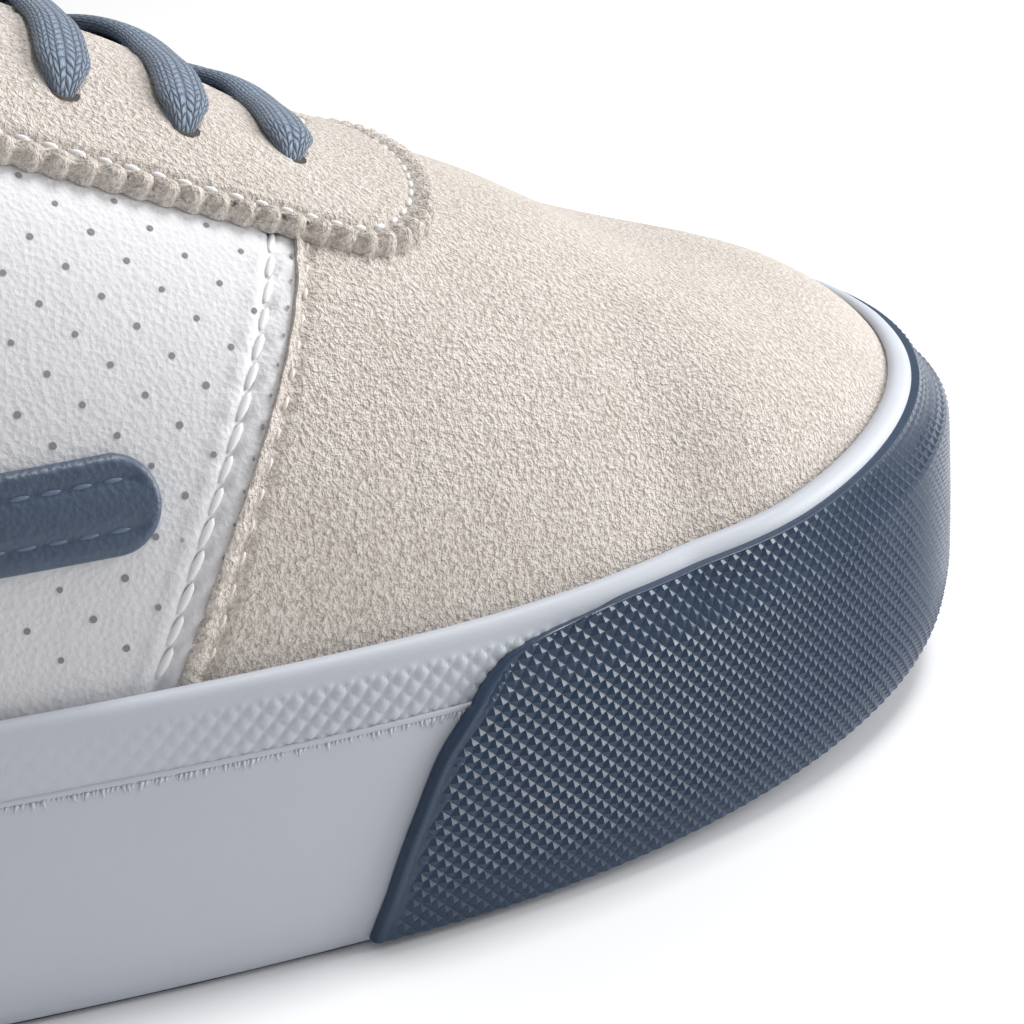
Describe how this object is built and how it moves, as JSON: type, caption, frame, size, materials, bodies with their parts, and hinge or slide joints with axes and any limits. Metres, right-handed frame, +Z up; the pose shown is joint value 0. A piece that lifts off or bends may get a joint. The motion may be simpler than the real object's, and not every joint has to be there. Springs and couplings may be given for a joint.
{
  "type": "skateboarding shoe",
  "caption": "Low-cut right skate shoe with a suede vamp, perforated leather quarters, laced throat, padded collar, rubber foxing and a knurled toe bumper",
  "frame": {"origin": "middle of the shoe's outer box, on the floor under the sole", "axes": "+X to the toe, +Y to the medial side, +Z up"},
  "size_m": [0.2967, 0.1065, 0.109],
  "materials": {
    "outsole_rubber": "matte blue-grey rubber",
    "midsole_foam": "matte white foam",
    "insole_cloth": "soft woven cloth",
    "white_rubber": "smooth, slightly glossy",
    "blue_rubber": "knurled, slightly glossy",
    "white_leather": "smooth perforated leather",
    "cream_suede": "napped suede",
    "blue_leather": "grained leather",
    "lining_cloth": "soft padded lining",
    "tongue_cloth": "soft padded cloth",
    "lace_cord": "woven flat cord"
  },
  "bodies": {
    "root": {"outsole": "outsole_rubber", "midsole": "midsole_foam", "insole": "insole_cloth", "foxing_wall": "white_rubber", "foxing_strip": "white_rubber", "toe_bumper": "blue_rubber", "upper": "white_leather", "eyestay": "cream_suede", "heel_counter": "cream_suede", "side_tab_lateral": "blue_leather", "side_tab_medial": "blue_leather", "collar_pad": "lining_cloth", "tongue": "tongue_cloth", "lace_crossing_1": "lace_cord", "lace_crossing_2": "lace_cord", "lace_crossing_3": "lace_cord", "lace_crossing_4": "lace_cord", "lace_crossing_5": "lace_cord"}
  },
  "joints": []
}
